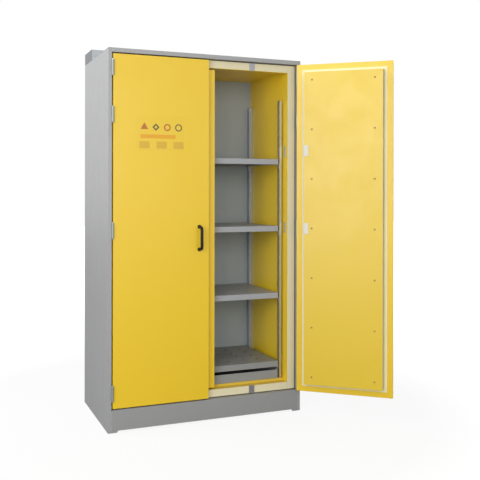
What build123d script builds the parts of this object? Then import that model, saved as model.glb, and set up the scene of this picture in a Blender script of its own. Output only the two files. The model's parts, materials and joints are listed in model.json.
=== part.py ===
from build123d import *
import os
from math import cos, radians, sin

os.makedirs("parts", exist_ok=True)

# Fire-rated battery cabinet with two hinged doors, in millimetres.
# The origin is at floor level, in the middle of the casing's footprint.
# +X is to the right, +Y to the back and +Z up. The doors are in the -Y face.

# Overall casing
width = 1090
depth = 590
height = 1950
casing_sheet = 1.5
side_strip = 18  # visible edge of each side panel beside the doors
fascia_height = 22  # front edge of the roof above the doors
rear_return = 18
pressing_margin = 130  # around the stiffening panel pressed into the back
pressing_depth = 3
pressing_radius = 20
plinth_height = 115
plinth_clearance = 10  # air under the plinth between its feet
foot_width = 46
foot_slant = 8
base_flange = 30

# Insulated wall
wall = 67  # outside of the casing to the inside of the liner
liner_sheet = 1
board_gap = 0.3
frame_setback = 26  # front of the casing to the face of the door frame boards
frame_thickness = 40
frame_groove = 4  # shadow gap between the casing edges and the frame boards
sill_height = 45  # top of the plinth to the sill
floor_step = 12  # liner floor above the sill
ceiling_step = 14  # liner ceiling above the top of the doorway
step_setback = 2
joint_plate_width = 33
joint_plate_sheet = 0.8
fitting_gap = 0.05  # between faces that lie on each other
catch_plate_setback = 16  # frame face to the catch plates on the side liners
catch_plate_width = 24
catch_plate_sheet = 1

# Shelving
upright_width = 25
upright_depth = 25
upright_sheet = 1.5
upright_top_gap = 150
front_upright_setback = 49  # frame face to the front uprights
rear_upright_gap = 8
slot_pitch = 47
slot_width = 8
slot_height = 20
slot_rows_below = 8  # rows of slots below the lowest shelf
shelf_count = 3
shelf_pitch_slots = 8
lowest_shelf = 652
shelf_sheet = 1.2
shelf_lip = 30
shelf_return = 12
shelf_side_gap = 6.5
shelf_front_gap = 3
shelf_back_gap = 6
clip_sheet = 1.5
clip_tab = 13
clip_width = 18
clip_height = 22
clip_tongue = 12
clip_play = 0.5  # each side of the tongue in its slot
clip_gap = 0.1
sump_height = 47
sump_corner_radius = 6
sump_slot = 16  # open slot between the sump and the insert above it
insert_lip = 32
insert_hole_radius = 9
insert_columns = 9
insert_rows = 4

# Doors
door_gap = 7  # above and below the doors, and beside them
meeting_gap = 3
skin_sheet = 1.5
skin_depth = 22
flange_width = 46
plug_inset = 48
plug_free_inset = 51
plug_depth = 40
cover_sheet = 1.5
seal_width = 16
seal_thickness = 2.5
astragal_reach = 43  # past the edge of the left door's skin
astragal_lap = 44
astragal_step = 4
astragal_return = 16
screw_rows = 7
screw_inset = 42
screw_head_radius = 5
screw_head_height = 2
screw_shank_radius = 2
clip_block_height = 60
clip_block_width = 26
clip_block_side = 22
clip_block_thickness = 2
block_rises = (898, 1323)  # door bottom to the middle of each block

# Hinges
pin_radius = 3
pin_clearance = 0.05
pin_head_radius = 5
pin_head_height = 3
knuckle_radius = 6
knuckle_standoff = 0.3
knuckle_gap = 0.3
hinge_length = 80
hinge_sheet = 2.5
hinge_plate_depth = 20
hinge_setback = 4  # side panel's return to the hinge axis
hinge_drops = (72, 310)  # door top to the middle of each upper hinge
hinge_rises = (900, 78)  # door bottom to the middle of each lower hinge
right_door_open = 141  # degrees from closed, its furthest

# Handles
handle_height = 976
handle_length = 140
handle_reach = 45
handle_width = 15
handle_thickness = 9
handle_edge = 54
handle_bend = 22
handle_chamfer = 2
handle_foot_radius = 10
handle_foot_height = 5

# Feet
foot_pad_radius = 20
foot_pad_height = 6
foot_stem_radius = 5
foot_stem_length = 70
foot_collar = 3
foot_cone_height = 4
foot_collar_height = 6
foot_corner = 52  # casing corner to each foot's centre
foot_bracket_height = 36
foot_bracket_sheet = 3
foot_nut_radius = 9
foot_nut_height = 9
foot_running_gap = 0.08

# Exhaust duct on the roof
duct_depth = 180
duct_height = 60
duct_sheet = 1.5
duct_flange = 14
spigot_radius = 37.5
spigot_wall = 2
spigot_height = 25
spigot_flange = 12
spigot_flange_sheet = 2
spigot_back = 90

# Places that follow from the sizes
side = width / 2
front = -depth / 2
back = depth / 2
roof_underside = height - casing_sheet
opening_side = side - wall
opening_top = height - wall
ceiling = opening_top + ceiling_step
liner_back = back - wall
fascia_bottom = height - fascia_height
frame_face = front + frame_setback
frame_back = frame_face + frame_thickness
frame_side = side - side_strip - frame_groove
frame_top = fascia_bottom - frame_groove
frame_bottom = plinth_height + frame_groove
sill = plinth_height + sill_height
liner_floor = sill + floor_step
step_face = frame_back + step_setback
insulation_front = step_face + liner_sheet + board_gap
return_depth = frame_setback + frame_thickness
between_strips = side - side_strip - board_gap
door_bottom = plinth_height + door_gap
door_top = fascia_bottom - door_gap
hinge_heights = [door_top - drop for drop in hinge_drops] + [door_bottom + rise for rise in hinge_rises]
block_heights = [door_bottom + rise for rise in block_rises]


def slab(x, y, z, plane=Plane.XY, mode=Mode.ADD):
    """Adds or cuts a flat-sided block between two limits on each axis of a plane."""
    with BuildSketch(plane.offset(min(z))) as footprint:
        with Locations((sum(x) / 2, sum(y) / 2)):
            Rectangle(abs(x[1] - x[0]), abs(y[1] - y[0]))
    extrude(footprint.sketch, amount=abs(z[1] - z[0]), mode=mode)


def folded_sheet(plane, points, sheet, length, turn=Side.LEFT):
    """Adds a sheet folded along an open outline, thickened to one side."""
    with BuildSketch(plane) as profile:
        with BuildLine():
            Polyline(*points)
            offset(amount=sheet, side=turn, kind=Kind.INTERSECTION)
        make_face()
    extrude(profile.sketch, amount=length)


def finish(piece, name):
    """Names a finished piece and writes its file."""
    piece.part.label = name
    export_step(piece.part, f"parts/{name}.step")


def finish_pair(left_piece, name):
    """Writes a left-hand piece and its mirror image on the right."""
    finish(left_piece, f"left_{name}")
    with BuildPart() as right_piece:
        mirror(left_piece.part, about=Plane.YZ)
    finish(right_piece, f"right_{name}")


# Casing

with BuildPart() as side_panel:
    folded_sheet(
        Plane.XY,
        [
            (-side + side_strip, front + return_depth),
            (-side + side_strip, front),
            (-side, front),
            (-side, back),
            (-side + rear_return, back),
        ],
        casing_sheet,
        roof_underside - board_gap,
        Side.RIGHT,
    )
finish_pair(side_panel, "side_panel")

with BuildPart() as roof_panel:
    slab((-side, side), (front, back), (roof_underside, height))
    folded_sheet(
        Plane.YZ.offset(-between_strips),
        [
            (front, roof_underside),
            (front, fascia_bottom),
            (front + return_depth, fascia_bottom),
        ],
        casing_sheet,
        2 * between_strips,
    )
finish(roof_panel, "roof_panel")

pressing_width = width - 2 * pressing_margin
pressing_height = height - plinth_height - 2 * pressing_margin
with BuildPart() as back_panel:
    slab(
        (-side + rear_return + board_gap, side - rear_return - board_gap),
        (back - casing_sheet, back),
        (plinth_clearance, roof_underside - board_gap),
    )
    with BuildSketch(Plane.XZ.offset(-back)) as stiffening_panel:
        with Locations((0, (plinth_height + height) / 2)):
            RectangleRounded(pressing_width, pressing_height, pressing_radius)
    extrude(stiffening_panel.sketch, amount=pressing_depth + casing_sheet)
    with BuildSketch(Plane.XZ.offset(-back)) as pressed_recess:
        with Locations((0, (plinth_height + height) / 2)):
            RectangleRounded(
                pressing_width - 2 * casing_sheet, pressing_height - 2 * casing_sheet, pressing_radius
            )
    extrude(pressed_recess.sketch, amount=pressing_depth, mode=Mode.SUBTRACT)
finish(back_panel, "back_panel")

with BuildPart() as base_pan:
    pan_front = front + return_depth + board_gap
    pan_back = back - casing_sheet - board_gap
    pan_side = side - casing_sheet - board_gap
    folded_sheet(
        Plane.YZ.offset(-pan_side),
        [
            (pan_front, plinth_height - base_flange),
            (pan_front, plinth_height),
            (pan_back, plinth_height),
            (pan_back, plinth_height - base_flange),
        ],
        casing_sheet,
        2 * pan_side,
        Side.RIGHT,
    )
finish(base_pan, "base_pan")

with BuildPart() as plinth_front:
    slab(
        (-between_strips, between_strips),
        (front, front + casing_sheet),
        (0, plinth_height),
    )
    slab(
        (-between_strips, between_strips),
        (front, front + return_depth),
        (plinth_height - casing_sheet, plinth_height),
    )
    with BuildSketch(Plane.XZ.offset(-front - casing_sheet)) as clearance_outline:
        foot_edge = side - foot_width
        with BuildLine():
            Polyline(
                (-foot_edge, 0),
                (-foot_edge + foot_slant, plinth_clearance),
                (foot_edge - foot_slant, plinth_clearance),
                (foot_edge, 0),
                close=True,
            )
        make_face()
    extrude(clearance_outline.sketch, amount=casing_sheet, mode=Mode.SUBTRACT)
finish(plinth_front, "plinth_front")

with BuildPart() as rear_cross_member:
    member_back = back - casing_sheet - board_gap
    folded_sheet(
        Plane.YZ.offset(-pan_side),
        [
            (member_back - base_flange, plinth_clearance),
            (member_back, plinth_clearance),
            (member_back, plinth_height - base_flange - board_gap),
        ],
        casing_sheet,
        2 * pan_side,
    )
finish(rear_cross_member, "rear_cross_member")

# Levelling feet, each turning on a stem through a bracket in its corner

foot_x = side - foot_corner
foot_y = depth / 2 - foot_corner
bracket_gap = casing_sheet + board_gap
with BuildPart() as foot_brackets:
    for facing_x in (-1, 1):
        for facing_y in (-1, 1):
            inner_y = foot_y - foot_nut_radius - foot_bracket_sheet
            outer_y = depth / 2 - bracket_gap
            if facing_y > 0:
                outer_y = depth / 2 - 2 * bracket_gap - casing_sheet
            x_limits = (facing_x * (side - side_strip - board_gap), facing_x * (foot_x - foot_pad_radius))
            y_limits = (facing_y * inner_y, facing_y * outer_y)
            slab(x_limits, y_limits, (foot_bracket_height, foot_bracket_height + foot_bracket_sheet))
            with BuildSketch(Plane.XY.offset(foot_bracket_height + foot_bracket_sheet)) as nut:
                with Locations((facing_x * foot_x, facing_y * foot_y)):
                    RegularPolygon(foot_nut_radius, 6)
            extrude(nut.sketch, amount=foot_nut_height)
            with Locations((facing_x * foot_x, facing_y * foot_y, foot_bracket_height)):
                Cylinder(foot_stem_radius + foot_running_gap, 8 * foot_nut_height, mode=Mode.SUBTRACT)
finish(foot_brackets, "foot_brackets")

for row_name, facing_y in (("front", -1), ("rear", 1)):
    for side_name, facing_x in (("left", -1), ("right", 1)):
        with BuildPart() as foot:
            with BuildSketch(Plane.XZ.offset(-facing_y * foot_y)) as foot_section:
                with BuildLine():
                    centre = facing_x * foot_x
                    shoulder = centre + foot_stem_radius + foot_collar
                    cone_top = foot_pad_height + foot_cone_height
                    collar_top = cone_top + foot_collar_height
                    Polyline(
                        (centre, foot_stem_length),
                        (centre, 0),
                        (centre + foot_pad_radius, 0),
                        (centre + foot_pad_radius, foot_pad_height),
                        (shoulder, cone_top),
                        (shoulder, collar_top),
                        (centre + foot_stem_radius, collar_top),
                        (centre + foot_stem_radius, foot_stem_length),
                        close=True,
                    )
                make_face()
            revolve(foot_section.sketch, Axis((centre, facing_y * foot_y, 0), (0, 0, 1)))
        finish(foot, f"{row_name}_{side_name}_foot")

# Insulation boards between the casing and the liner

board_side = side - casing_sheet - board_gap
board_inner = opening_side + liner_sheet + board_gap
board_low = plinth_height + board_gap
board_high = roof_underside - board_gap
liner_outer_back = liner_back + liner_sheet + board_gap
board_rear = back - pressing_depth - casing_sheet - board_gap
with BuildPart() as side_insulation:
    slab((-board_side, -board_inner), (insulation_front, board_rear), (board_low, board_high))
finish_pair(side_insulation, "insulation")

with BuildPart() as top_insulation:
    slab(
        (-board_inner + board_gap, board_inner - board_gap),
        (insulation_front, liner_outer_back - board_gap),
        (ceiling + liner_sheet + board_gap, board_high),
    )
finish(top_insulation, "top_insulation")

with BuildPart() as bottom_insulation:
    slab(
        (-opening_side + board_gap, opening_side - board_gap),
        (insulation_front, liner_back - board_gap),
        (board_low, liner_floor - liner_sheet - board_gap),
    )
finish(bottom_insulation, "bottom_insulation")

with BuildPart() as back_insulation:
    slab(
        (-board_inner + board_gap, board_inner - board_gap),
        (liner_outer_back, board_rear),
        (board_low, board_high),
    )
finish(back_insulation, "back_insulation")

# Door frame boards around the opening

stile_inner = opening_side + liner_sheet + board_gap
rail_side = stile_inner - board_gap
with BuildPart() as stile:
    slab((-frame_side, -stile_inner), (frame_face, frame_back), (frame_bottom, frame_top))
finish_pair(stile, "frame_board")

with BuildPart() as top_frame_board:
    slab(
        (-rail_side, rail_side),
        (frame_face, frame_back),
        (opening_top + liner_sheet + board_gap, frame_top),
    )
finish(top_frame_board, "top_frame_board")

with BuildPart() as bottom_frame_board:
    slab((-rail_side, rail_side), (frame_face, frame_back), (frame_bottom, sill - liner_sheet - board_gap))
finish(bottom_frame_board, "bottom_frame_board")

door_width = (width - 2 * (side_strip + door_gap) - meeting_gap) / 2
mid_door = meeting_gap / 2 + door_width / 2
with BuildPart() as joint_plates:
    plate_face = frame_face - joint_plate_sheet - fitting_gap
    for facing_x in (-1, 1):
        x_limits = (facing_x * mid_door - joint_plate_width / 2, facing_x * mid_door + joint_plate_width / 2)
        slab(x_limits, (plate_face, plate_face + joint_plate_sheet), (opening_top, frame_top))
        slab(x_limits, (plate_face, plate_face + joint_plate_sheet), (frame_bottom, sill))
finish(joint_plates, "joint_plates")

# Liner

with BuildPart() as side_liner:
    slab(
        (-opening_side - liner_sheet, -opening_side),
        (frame_face, liner_back - board_gap),
        (sill - liner_sheet, opening_top + liner_sheet),
    )
    slab(
        (-opening_side - liner_sheet, -opening_side),
        (step_face, liner_back - board_gap),
        (opening_top, ceiling + liner_sheet),
    )
finish_pair(side_liner, "liner")

liner_side = opening_side - board_gap
with BuildPart() as top_liner:
    folded_sheet(
        Plane.YZ.offset(-liner_side),
        [
            (frame_face, opening_top),
            (step_face, opening_top),
            (step_face, ceiling),
            (liner_back - board_gap, ceiling),
        ],
        liner_sheet,
        2 * liner_side,
    )
finish(top_liner, "top_liner")

with BuildPart() as bottom_liner:
    folded_sheet(
        Plane.YZ.offset(-liner_side),
        [
            (frame_face, sill),
            (step_face, sill),
            (step_face, liner_floor),
            (liner_back - board_gap, liner_floor),
        ],
        liner_sheet,
        2 * liner_side,
        Side.RIGHT,
    )
finish(bottom_liner, "bottom_liner")

with BuildPart() as back_liner:
    slab(
        (-opening_side - liner_sheet, opening_side + liner_sheet),
        (liner_back, liner_back + liner_sheet),
        (sill - liner_sheet, ceiling + liner_sheet),
    )
finish(back_liner, "back_liner")

# Catch plates on the side liners, facing the blocks on the doors

with BuildPart() as catch_plates:
    catch_front = frame_face + catch_plate_setback
    catch_face = opening_side - board_gap
    for facing_x in (-1, 1):
        for centre_height in block_heights:
            x_limits = (facing_x * catch_face, facing_x * (catch_face - catch_plate_sheet))
            z_limits = (centre_height - clip_block_height / 2, centre_height + clip_block_height / 2)
            slab(x_limits, (catch_front, catch_front + catch_plate_width), z_limits)
finish(catch_plates, "catch_plates")

# Slotted uprights

upright_outer = opening_side - board_gap
upright_inner = opening_side - upright_width
upright_bottom = liner_floor + board_gap
upright_top = opening_top - upright_top_gap
upright_front = frame_face + front_upright_setback
upright_rear = liner_back - rear_upright_gap
first_slot = lowest_shelf - shelf_lip - clip_height / 2
slot_heights = []
slot = first_slot - slot_rows_below * slot_pitch
while slot < upright_top - slot_height:
    slot_heights.append(slot)
    slot += slot_pitch


def build_upright(near, far):
    """Builds a left-hand channel, its slotted web facing the shelves."""
    with BuildPart() as upright:
        folded_sheet(
            Plane.XY.offset(upright_bottom),
            [
                (-upright_outer, near),
                (-upright_inner, near),
                (-upright_inner, far),
                (-upright_outer, far),
            ],
            upright_sheet,
            upright_top - upright_bottom,
        )
        with BuildSketch(Plane.YZ.offset(-upright_inner - upright_sheet)) as slots:
            with Locations([((near + far) / 2, slot_at) for slot_at in slot_heights]):
                Rectangle(slot_width, slot_height)
        extrude(slots.sketch, amount=upright_sheet, mode=Mode.SUBTRACT)
    return upright


front_upright = build_upright(upright_front, upright_front + upright_depth)
rear_upright = build_upright(upright_rear - upright_depth, upright_rear)
finish_pair(front_upright, "front_upright")
finish_pair(rear_upright, "rear_upright")

# Shelves on clips

shelf_half = upright_inner - shelf_side_gap
shelf_front = upright_front + shelf_front_gap
shelf_back = liner_back - shelf_back_gap
shelf_heights = [lowest_shelf + level * shelf_pitch_slots * slot_pitch for level in range(shelf_count)]


def build_shelf(top, side_lip, end_lip, inward):
    """Builds a shelf pressing with lips all round and returns under its long edges."""
    with BuildPart() as shelf:
        slab((-shelf_half, shelf_half), (shelf_front, shelf_back), (top - shelf_sheet, top))
        for facing_x in (-1, 1):
            slab(
                (facing_x * (shelf_half - shelf_sheet), facing_x * shelf_half),
                (shelf_front, shelf_back),
                (top - side_lip, top),
            )
        for edge, inner in ((shelf_front, shelf_front + shelf_sheet), (shelf_back, shelf_back - shelf_sheet)):
            toward = 1 if inner > edge else -1
            slab((-shelf_half, shelf_half), (edge, inner), (top - end_lip, top))
            slab(
                (-shelf_half, shelf_half),
                (edge, edge + toward * inward),
                (top - end_lip, top - end_lip + shelf_sheet),
            )
        long_edges = shelf.edges().filter_by(Axis.X).group_by(Axis.Z)[-1]
        fillet([long_edges.sort_by(Axis.Y)[0], long_edges.sort_by(Axis.Y)[-1]], shelf_sheet)
    return shelf


for shelf_name, top in zip(("lower_shelf", "middle_shelf", "top_shelf"), shelf_heights):
    finish(build_shelf(top, shelf_lip, shelf_lip, shelf_return), shelf_name)

with BuildPart() as shelf_clips:
    web_face = upright_inner
    for top in shelf_heights:
        rest = top - shelf_lip
        tongue_middle = rest - clip_height / 2
        for facing_x in (-1, 1):
            for centre_y in (upright_front + upright_depth / 2, upright_rear - upright_depth / 2):
                y_limits = (centre_y - clip_width / 2, centre_y + clip_width / 2)
                plate = web_face - clip_gap
                slab(
                    (facing_x * plate, facing_x * (plate - clip_sheet)),
                    y_limits,
                    (rest - clip_height, rest),
                )
                slab(
                    (facing_x * plate, facing_x * (plate - clip_tab)),
                    y_limits,
                    (rest - clip_sheet, rest),
                )
                slab(
                    (facing_x * plate, facing_x * (web_face + 2 * upright_sheet)),
                    (centre_y - slot_width / 2 + clip_play, centre_y + slot_width / 2 - clip_play),
                    (tongue_middle - clip_tongue / 2, tongue_middle + clip_tongue / 2),
                )
finish(shelf_clips, "shelf_clips")

# Sump tray with a perforated insert standing on its rim

sump_floor = liner_floor + board_gap
sump_rim = sump_floor + sump_height
insert_top = sump_rim + sump_slot + insert_lip
with BuildPart() as sump_tray:
    slab(
        (-shelf_half, shelf_half),
        (shelf_front - shelf_front_gap, shelf_back),
        (sump_floor, sump_rim),
    )
    upright_edges = sump_tray.edges().filter_by(Axis.Z)
    fillet(upright_edges, sump_corner_radius)
    rim = sump_tray.faces().sort_by(Axis.Z)[-1]
    offset(amount=-shelf_sheet, openings=rim)
finish(sump_tray, "sump_tray")

insert = build_shelf(insert_top, insert_lip + sump_slot - board_gap, insert_lip, shelf_return)
with BuildPart() as sump_insert:
    add(insert.part)
    with BuildSketch(Plane.XY.offset(insert_top - shelf_sheet)) as perforation:
        hole_pitch_x = 2 * shelf_half / (insert_columns + 1)
        hole_pitch_y = (shelf_back - shelf_front) / (insert_rows + 1)
        with Locations((0, (shelf_front + shelf_back) / 2)):
            with GridLocations(hole_pitch_x, hole_pitch_y, insert_columns, insert_rows):
                RegularPolygon(insert_hole_radius, 6)
    extrude(perforation.sketch, amount=shelf_sheet, mode=Mode.SUBTRACT)
finish(sump_insert, "sump_insert")

# Exhaust duct along the back of the roof

duct_front = back - duct_depth
duct_base = height + board_gap
duct_top = duct_base + duct_height
with BuildPart() as duct_box:
    folded_sheet(
        Plane.YZ.offset(-side + duct_sheet),
        [
            (duct_front + duct_flange, duct_base),
            (duct_front, duct_base),
            (duct_front, duct_top),
            (back, duct_top),
            (back, duct_base),
            (back - duct_flange, duct_base),
        ],
        duct_sheet,
        width - 2 * duct_sheet,
        Side.RIGHT,
    )
    with Locations((0, back - spigot_back, duct_top)):
        Cylinder(spigot_radius - spigot_wall, 4 * duct_sheet, mode=Mode.SUBTRACT)
finish(duct_box, "duct_box")

with BuildPart() as duct_end_caps:
    for facing_x in (-1, 1):
        cap_face = facing_x * side
        cap_back = cap_face - facing_x * (duct_sheet - board_gap)
        slab((cap_face, cap_back), (duct_front, back), (duct_base, duct_top))
        slab(
            (cap_face, cap_face - facing_x * duct_flange),
            (duct_front + 2 * duct_sheet, back - 2 * duct_sheet),
            (duct_top - 3 * duct_sheet, duct_top - 2 * duct_sheet),
        )
finish(duct_end_caps, "duct_end_caps")

with BuildPart() as exhaust_spigot:
    with BuildSketch(Plane.XZ.offset(-back + spigot_back)) as spigot_section:
        with BuildLine():
            flange_base = duct_top + board_gap
            rim_height = flange_base + spigot_height
            bore = spigot_radius - spigot_wall
            Polyline(
                (bore, flange_base),
                (spigot_radius + spigot_flange, flange_base),
                (spigot_radius + spigot_flange, flange_base + spigot_flange_sheet),
                (spigot_radius, flange_base + spigot_flange_sheet),
                (spigot_radius, rim_height),
                (bore, rim_height),
                close=True,
            )
        make_face()
    revolve(spigot_section.sketch, Axis((0, back - spigot_back, 0), (0, 0, 1)))
finish(exhaust_spigot, "exhaust_spigot")

# Hinges: frame halves with two knuckles each, door halves with one

hinge_x = side - side_strip - hinge_setback
hinge_y = front - knuckle_radius - knuckle_standoff
knuckle_length = hinge_length / 3
closed_left = Plane(origin=(-hinge_x, hinge_y, 0), x_dir=(1, 0, 0), z_dir=(0, 0, 1))
closed_right = Plane(origin=(hinge_x, hinge_y, 0), x_dir=(-1, 0, 0), z_dir=(0, 0, 1))
swing = radians(right_door_open)
open_right = Plane(
    origin=(hinge_x, hinge_y, 0), x_dir=(-cos(swing), -sin(swing), 0), z_dir=(0, 0, 1)
)
casing_face = -hinge_y + front  # front of the casing, behind the hinge axis
frame_plate = side - side_strip - hinge_x  # face of the side panel's return, from the axis
skin_edge = door_gap - frame_plate  # edge of the door skin, from the axis


def knuckle(plane, low, high):
    """Adds one bored knuckle between two heights on a hinge axis."""
    with BuildSketch(plane.offset(low)) as ring:
        Circle(knuckle_radius)
    extrude(ring.sketch, amount=high - low)


def bore_knuckles(plane, low, high):
    """Cuts the pin's bore through the knuckles between two heights."""
    with BuildSketch(plane.offset(low)) as ring:
        Circle(pin_radius + pin_clearance)
    extrude(ring.sketch, amount=high - low, mode=Mode.SUBTRACT)


with BuildPart() as frame_hinge_plates:
    for plane, facing in ((closed_left, 1), (closed_right, -1)):
        for centre_height in hinge_heights:
            low = centre_height - hinge_length / 2
            high = centre_height + hinge_length / 2
            plate = (-frame_plate, -frame_plate + hinge_sheet)
            v_limits = (facing * casing_face, facing * (casing_face + hinge_plate_depth))
            slab(plate, v_limits, (low, high), plane)
            for knuckle_low, knuckle_high in (
                (low, low + knuckle_length - knuckle_gap),
                (high - knuckle_length + knuckle_gap, high),
            ):
                knuckle(plane, knuckle_low, knuckle_high)
                slab(plate, (0, facing * casing_face), (knuckle_low, knuckle_high), plane)
            bore_knuckles(plane, low, high)
finish(frame_hinge_plates, "frame_hinge_plates")

with BuildPart() as hinge_pins:
    for plane in (closed_left, closed_right):
        for centre_height in hinge_heights:
            low = centre_height - hinge_length / 2
            high = centre_height + hinge_length / 2
            with BuildSketch(plane.offset(low)) as shank:
                Circle(pin_radius)
            extrude(shank.sketch, amount=hinge_length + board_gap)
            with BuildSketch(plane.offset(high + board_gap)) as head:
                Circle(pin_head_radius)
            extrude(head.sketch, amount=pin_head_height)
finish(hinge_pins, "hinge_pins")

# Doors, each drawn from its hinge axis: first along the door, then into the cabinet

skin_back = casing_face + skin_depth
cover_back = skin_back + plug_depth
cover_face = cover_back - cover_sheet - board_gap
astragal_face = skin_back + astragal_step
plug_bottom = door_bottom + plug_inset
plug_top = door_top - plug_inset
free_edge = skin_edge + door_width
astragal_start = free_edge - astragal_lap
astragal_edge = free_edge + astragal_reach
plug_start = skin_edge + plug_inset
screw_heights = [
    plug_bottom + screw_inset + row * (plug_top - plug_bottom - 2 * screw_inset) / (screw_rows - 1)
    for row in range(screw_rows)
]


def build_skin(plane, facing):
    """Builds the outer door pan, its edges folded back and in."""
    with BuildPart() as skin:
        u_limits = (skin_edge, free_edge)
        v_limits = (facing * casing_face, facing * skin_back)
        slab(u_limits, v_limits, (door_bottom, door_top), plane)
        slab(
            (skin_edge + skin_sheet, free_edge - skin_sheet),
            (facing * (casing_face + skin_sheet), facing * (skin_back - skin_sheet)),
            (door_bottom + skin_sheet, door_top - skin_sheet),
            plane,
            Mode.SUBTRACT,
        )
        slab(
            (skin_edge + flange_width, free_edge - flange_width),
            (facing * (skin_back - skin_sheet), facing * skin_back),
            (door_bottom + flange_width, door_top - flange_width),
            plane,
            Mode.SUBTRACT,
        )
    return skin


def build_core(plane, facing, plug_end, lap_end):
    """Builds the board that fills the skin and stands out behind it, on to the end of any lap."""
    with BuildPart() as core:
        slab(
            (skin_edge + skin_sheet + board_gap, free_edge - skin_sheet - board_gap),
            (facing * (casing_face + skin_sheet + board_gap), facing * (skin_back - skin_sheet - board_gap)),
            (door_bottom + skin_sheet + board_gap, door_top - skin_sheet - board_gap),
            plane,
        )
        slab(
            (plug_start, plug_end),
            (facing * (skin_back - skin_sheet - board_gap), facing * cover_face),
            (plug_bottom, plug_top),
            plane,
        )
        if lap_end > plug_end:
            slab(
                (plug_start, lap_end),
                (facing * (astragal_face + skin_sheet + board_gap), facing * cover_face),
                (plug_bottom, plug_top),
                plane,
            )
    return core


def build_seal(plane, facing, to_free_edge):
    """Builds the seal strip on the skin's flange, open at the meeting edge if asked."""
    with BuildPart() as seal:
        v_limits = (facing * skin_back, facing * (skin_back + seal_thickness))
        outer = flange_width - seal_width
        seal_end = free_edge - outer if to_free_edge else astragal_start - board_gap
        slab((skin_edge + outer, seal_end), v_limits, (door_bottom + outer, door_top - outer), plane)
        inner_end = free_edge - flange_width if to_free_edge else seal_end
        slab(
            (skin_edge + flange_width, inner_end),
            v_limits,
            (door_bottom + flange_width, door_top - flange_width),
            plane,
            Mode.SUBTRACT,
        )
    return seal


def build_cover(plane, facing, cover_end):
    """Builds the flat inner cover with its screw holes."""
    with BuildPart() as cover:
        v_limits = (facing * (cover_back - cover_sheet), facing * cover_back)
        slab((plug_start, cover_end), v_limits, (plug_bottom, plug_top), plane)
        for face in screw_faces(plane, facing, cover_end):
            with BuildSketch(Plane(origin=face, z_dir=plane.y_dir * -facing)) as hole:
                Circle(screw_shank_radius + board_gap)
            extrude(hole.sketch, amount=cover_sheet, mode=Mode.SUBTRACT)
    return cover


def screw_faces(plane, facing, cover_end):
    """Gives the place of each cover screw on the face of the inner cover."""
    for along in (plug_start + screw_inset, cover_end - screw_inset):
        for up in screw_heights:
            inward = plane.y_dir * (facing * cover_back)
            yield plane.origin + plane.x_dir * along + inward + plane.z_dir * up


def build_screws(plane, facing, cover_end):
    """Builds the pan-head screws that hold the inner cover."""
    with BuildPart() as screws:
        for face in screw_faces(plane, facing, cover_end):
            with BuildSketch(Plane(origin=face, z_dir=plane.y_dir * facing)) as head:
                Circle(screw_head_radius)
            extrude(head.sketch, amount=screw_head_height)
            with BuildSketch(Plane(origin=face, z_dir=plane.y_dir * -facing)) as shank:
                Circle(screw_shank_radius)
            extrude(shank.sketch, amount=cover_sheet)
    return screws


def build_blocks(plane, facing):
    """Builds the angle blocks on the hinge side of the plug."""
    with BuildPart() as blocks:
        for centre_height in block_heights:
            z_limits = (centre_height - clip_block_height / 2, centre_height + clip_block_height / 2)
            outside = plug_start - board_gap - clip_block_thickness
            near = cover_back + board_gap
            slab(
                (outside, plug_start + clip_block_width - clip_block_thickness),
                (facing * near, facing * (near + clip_block_thickness)),
                z_limits,
                plane,
            )
            slab(
                (outside, plug_start - board_gap),
                (facing * (near - clip_block_side), facing * near),
                z_limits,
                plane,
            )
    return blocks


def build_door_hinges(plane, facing):
    """Builds the door halves of the hinges."""
    with BuildPart() as door_plates:
        plate = (skin_edge - hinge_sheet, skin_edge)
        for centre_height in hinge_heights:
            low = centre_height - hinge_length / 2
            high = centre_height + hinge_length / 2
            slab(
                plate,
                (facing * casing_face, facing * (casing_face + hinge_plate_depth)),
                (low, high),
                plane,
            )
            knuckle_low = low + knuckle_length
            knuckle_high = high - knuckle_length
            knuckle(plane, knuckle_low, knuckle_high)
            slab(plate, (0, facing * casing_face), (knuckle_low, knuckle_high), plane)
            bore_knuckles(plane, low, high)
    return door_plates


def build_handle(plane, facing):
    """Builds the bow handle on round feet."""
    along = free_edge - handle_edge
    surface = casing_face
    low = handle_height - handle_length / 2
    high = handle_height + handle_length / 2
    handle_origin = plane.origin + plane.x_dir * along + plane.y_dir * (facing * surface)
    outward = plane.y_dir * -facing
    bow_plane = Plane(origin=handle_origin, x_dir=outward, z_dir=outward.cross(Vector(0, 0, 1)))
    foot_low = low + handle_foot_radius
    foot_high = high - handle_foot_radius
    half_grip = handle_thickness / 2
    with BuildPart() as handle:
        with BuildSketch(bow_plane) as bow:
            with BuildLine():
                FilletPolyline(
                    (0, foot_low - half_grip),
                    (handle_reach, foot_low - half_grip),
                    (handle_reach, foot_high + half_grip),
                    (0, foot_high + half_grip),
                    radius=handle_bend + half_grip,
                )
                Line((0, foot_high + half_grip), (0, foot_high - half_grip))
                FilletPolyline(
                    (0, foot_high - half_grip),
                    (handle_reach - handle_thickness, foot_high - half_grip),
                    (handle_reach - handle_thickness, foot_low + half_grip),
                    (0, foot_low + half_grip),
                    radius=handle_bend - half_grip,
                )
                Line((0, foot_low + half_grip), (0, foot_low - half_grip))
            make_face()
        extrude(bow.sketch, amount=handle_width / 2, both=True)
        grip_sides = handle.faces().sort_by(Axis((0, 0, 0), tuple(bow_plane.z_dir)))
        chamfer(grip_sides[0].edges() + grip_sides[-1].edges(), handle_chamfer)
        for foot_at in (foot_low, foot_high):
            with BuildSketch(Plane(origin=handle_origin + Vector(0, 0, foot_at), z_dir=outward)) as pad:
                Circle(handle_foot_radius)
            extrude(pad.sketch, amount=handle_foot_height)
    return handle


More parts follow.
